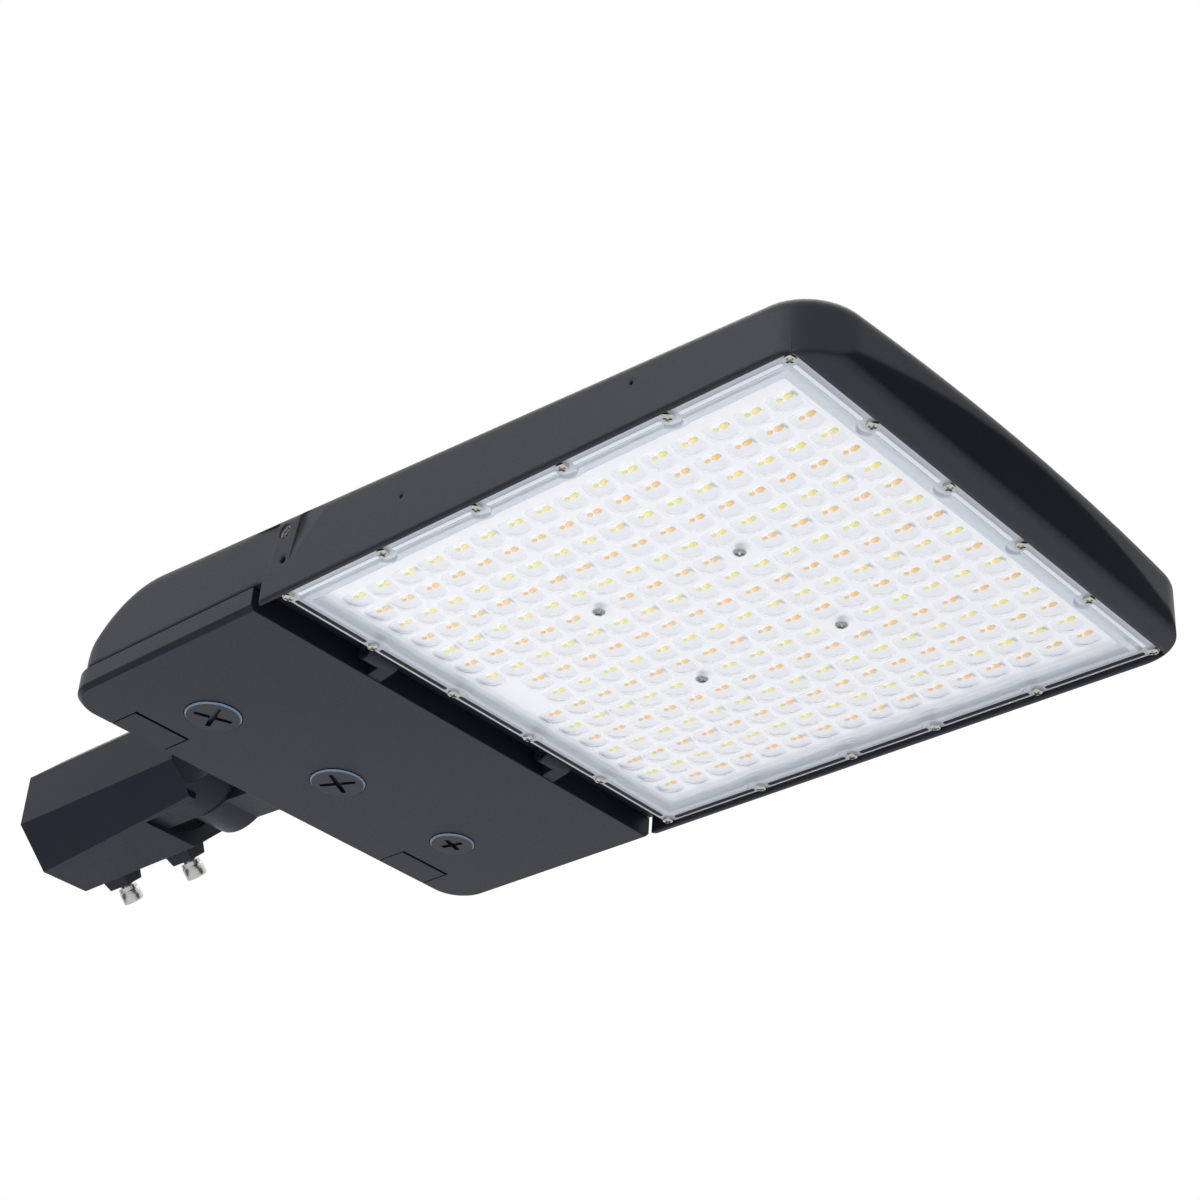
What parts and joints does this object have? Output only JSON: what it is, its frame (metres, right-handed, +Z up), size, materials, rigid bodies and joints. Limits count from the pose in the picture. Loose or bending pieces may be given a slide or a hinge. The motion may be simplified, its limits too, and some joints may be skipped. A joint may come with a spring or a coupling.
{
  "type": "area light",
  "caption": "Flat LED area light with a finned housing, domed lens panel and hinged driver door, on a tilting slip fitter for a pipe tenon.",
  "frame": {"origin": "centre of the tenon socket's mouth, on its axis", "axes": "+X along the tenon axis towards the nose of the light, +Y to the side where the knuckle bolt's head is, +Z up"},
  "size_m": [0.709, 0.3044, 0.0877],
  "materials": {
    "powder_coat": "fine textured semi-matt powder coat on die-cast aluminium",
    "latch_plastic": "fine moulded texture",
    "plug_plastic": "smooth moulded",
    "stainless": "bright turned",
    "spring_wire": "drawn wire",
    "silicone": "matt",
    "clear_lens": "clear moulded polycarbonate",
    "white_board": "white solder mask",
    "cool_phosphor": "silicone over yellow phosphor",
    "warm_phosphor": "silicone over orange phosphor",
    "driver_case": "drawn sheet",
    "black_plastic": "moulded",
    "white_plastic": "moulded"
  },
  "bodies": {
    "fitter": {"slip_fitter": "powder_coat", "tenon_clamp_bolts": "stainless", "clamp_bolt_collars": "stainless", "knuckle_bolt": "stainless", "knuckle_washer": "stainless"},
    "head": {"knuckle_arm": "powder_coat", "arm_gasket": "silicone", "arm_screws": "stainless", "housing": "powder_coat", "lens_panel": "clear_lens", "lens_gasket": "silicone", "lens_screws": "stainless", "lens_centre_screws": "stainless", "led_board": "white_board", "cool_white_leds": "cool_phosphor", "warm_white_leds": "warm_phosphor", "hinge_pins": "stainless", "led_driver": "driver_case", "driver_screws": "stainless", "surge_protector": "driver_case", "terminal_block": "black_plastic"},
    "door": {"driver_door": "powder_coat", "door_seal": "silicone", "plug_seals": "silicone", "output_switch": "black_plastic", "colour_switch": "black_plastic", "sensor_socket": "black_plastic", "latch_spring_left": "spring_wire", "latch_spring_right": "spring_wire"},
    "left_latch": {"latch_left": "latch_plastic"},
    "right_latch": {"latch_right": "latch_plastic"},
    "left_plug": {"selector_plug_left": "plug_plastic"},
    "middle_plug": {"selector_plug_middle": "plug_plastic"},
    "small_plug": {"sensor_plug": "plug_plastic"},
    "left_dial": {"output_dial": "white_plastic"},
    "middle_dial": {"colour_dial": "white_plastic"}
  },
  "joints": [
    {"name": "head_tilt", "type": "hinge", "parent": "fitter", "child": "head", "pos_m": [0.133, 0, 0], "axis": [0, 1, 0], "range_deg": [-30, 90]},
    {"name": "door_swing", "type": "hinge", "parent": "head", "child": "door", "pos_m": [0.358, 0, -0.0398], "axis": [0, -1, 0], "range_deg": [0, 90]},
    {"name": "left_latch_slide", "type": "slide", "parent": "door", "child": "left_latch", "axis": [1, 0, 0], "range_m": [0, 0.0018], "stiffness_N_per_m": 2500, "springref_m": -0.004, "deforming": ["latch_spring_left"]},
    {"name": "right_latch_slide", "type": "slide", "parent": "door", "child": "right_latch", "axis": [1, 0, 0], "range_m": [0, 0.0018], "stiffness_N_per_m": 2500, "springref_m": -0.004, "deforming": ["latch_spring_right"]},
    {"name": "left_plug_turn", "type": "hinge", "parent": "door", "child": "left_plug", "pos_m": [0.25, -0.0915, -0.045], "axis": [0, 0, 1], "range_deg": [-180, 180]},
    {"name": "middle_plug_turn", "type": "hinge", "parent": "door", "child": "middle_plug", "pos_m": [0.25, 0, -0.045], "axis": [0, 0, 1], "range_deg": [-180, 180]},
    {"name": "small_plug_turn", "type": "hinge", "parent": "door", "child": "small_plug", "pos_m": [0.25, 0.0915, -0.045], "axis": [0, 0, 1], "range_deg": [-180, 180]},
    {"name": "left_dial_turn", "type": "hinge", "parent": "door", "child": "left_dial", "pos_m": [0.25, -0.0915, -0.037], "axis": [0, 0, 1], "range_deg": [-60, 60]},
    {"name": "middle_dial_turn", "type": "hinge", "parent": "door", "child": "middle_dial", "pos_m": [0.25, 0, -0.037], "axis": [0, 0, 1], "range_deg": [-60, 60]}
  ]
}
